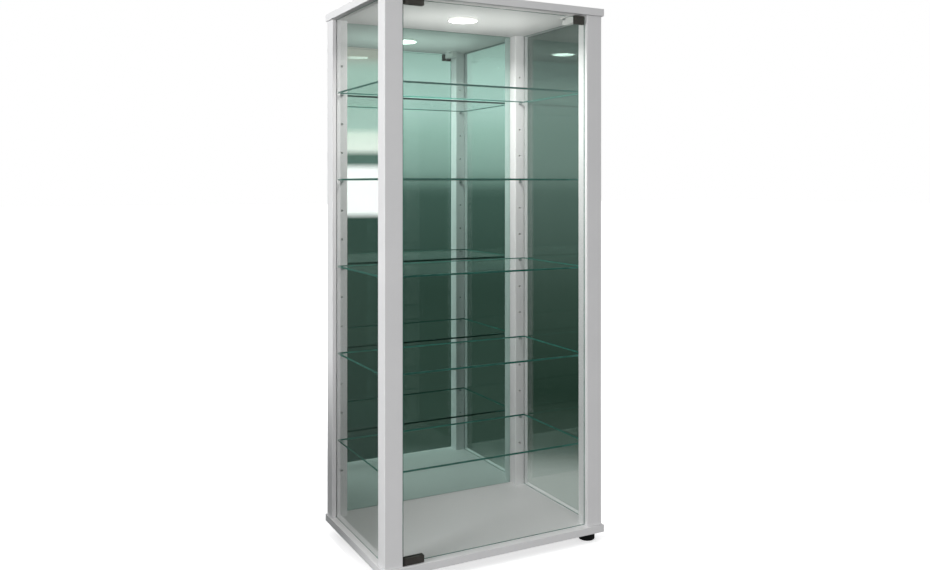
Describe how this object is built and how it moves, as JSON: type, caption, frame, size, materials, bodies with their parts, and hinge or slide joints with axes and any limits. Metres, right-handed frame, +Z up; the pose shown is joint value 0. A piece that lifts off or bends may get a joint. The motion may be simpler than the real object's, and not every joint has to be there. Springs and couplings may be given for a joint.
{
  "type": "glass display cabinet",
  "caption": "Tall free-standing glass display cabinet with a white frame, mirror back, inset pivot glass door, glass shelves on pins and a round lamp.",
  "frame": {"origin": "on the floor under the middle of the boards", "axes": "+Z up, +X to the right seen from the front, the front faces -Y"},
  "size_m": [0.514, 0.34, 1.15],
  "materials": {
    "white_board": "smooth satin white foil on board",
    "clear_glass": "clear float glass with green ground edges",
    "mirror": "silvered green float glass",
    "black_metal": "satin black coated metal",
    "steel": "zinc plated",
    "black_plastic": "matt black",
    "white_plastic": "fine satin white",
    "lamp_lens": "frosted diffuser, lit from inside"
  },
  "bodies": {
    "cabinet": {"top_board": "white_board", "base_board": "white_board", "post_front_left": "white_board", "post_front_right": "white_board", "post_rear_left": "white_board", "post_rear_right": "white_board", "side_glass_left": "clear_glass", "side_glass_right": "clear_glass", "rear_mirror": "mirror", "hinge_bracket_top": "black_metal", "hinge_bracket_bottom": "black_metal", "latch_housing": "white_plastic", "latch_screw_left": "steel", "latch_screw_right": "steel", "lamp_body": "white_plastic", "lamp_lens": "lamp_lens", "foot_front_left": "black_plastic", "foot_screw_front_left": "steel", "foot_front_right": "black_plastic", "foot_screw_front_right": "steel", "foot_rear_left": "black_plastic", "foot_screw_rear_left": "steel", "foot_rear_right": "black_plastic", "foot_screw_rear_right": "steel", "shelf_1": "clear_glass", "shelf_pin_1_front_left": "steel", "shelf_pin_1_front_right": "steel", "shelf_pin_1_rear_left": "steel", "shelf_pin_1_rear_right": "steel", "shelf_2": "clear_glass", "shelf_pin_2_front_left": "steel", "shelf_pin_2_front_right": "steel", "shelf_pin_2_rear_left": "steel", "shelf_pin_2_rear_right": "steel", "shelf_3": "clear_glass", "shelf_pin_3_front_left": "steel", "shelf_pin_3_front_right": "steel", "shelf_pin_3_rear_left": "steel", "shelf_pin_3_rear_right": "steel", "shelf_4": "clear_glass", "shelf_pin_4_front_left": "steel", "shelf_pin_4_front_right": "steel", "shelf_pin_4_rear_left": "steel", "shelf_pin_4_rear_right": "steel", "shelf_5": "clear_glass", "shelf_pin_5_front_left": "steel", "shelf_pin_5_front_right": "steel", "shelf_pin_5_rear_left": "steel", "shelf_pin_5_rear_right": "steel"},
    "door": {"door_glass": "clear_glass", "hinge_clip_top": "black_metal", "hinge_clip_bottom": "black_metal", "clamp_screw_top_1": "steel", "clamp_screw_top_2": "steel", "clamp_screw_bottom_1": "steel", "clamp_screw_bottom_2": "steel", "strike_plate": "black_metal", "strike_screw": "steel"},
    "latch_button": {"latch_plunger": "white_plastic", "latch_magnet": "steel"}
  },
  "joints": [
    {"name": "door_hinge", "type": "hinge", "parent": "cabinet", "child": "door", "pos_m": [-0.2055, -0.159, 0], "axis": [0, 0, -1], "range_deg": [0, 105]},
    {"name": "latch_push", "type": "slide", "parent": "cabinet", "child": "latch_button", "axis": [0, 1, 0], "range_m": [0, 0.003], "stiffness_N_per_m": 400, "springref_m": -0.003}
  ]
}
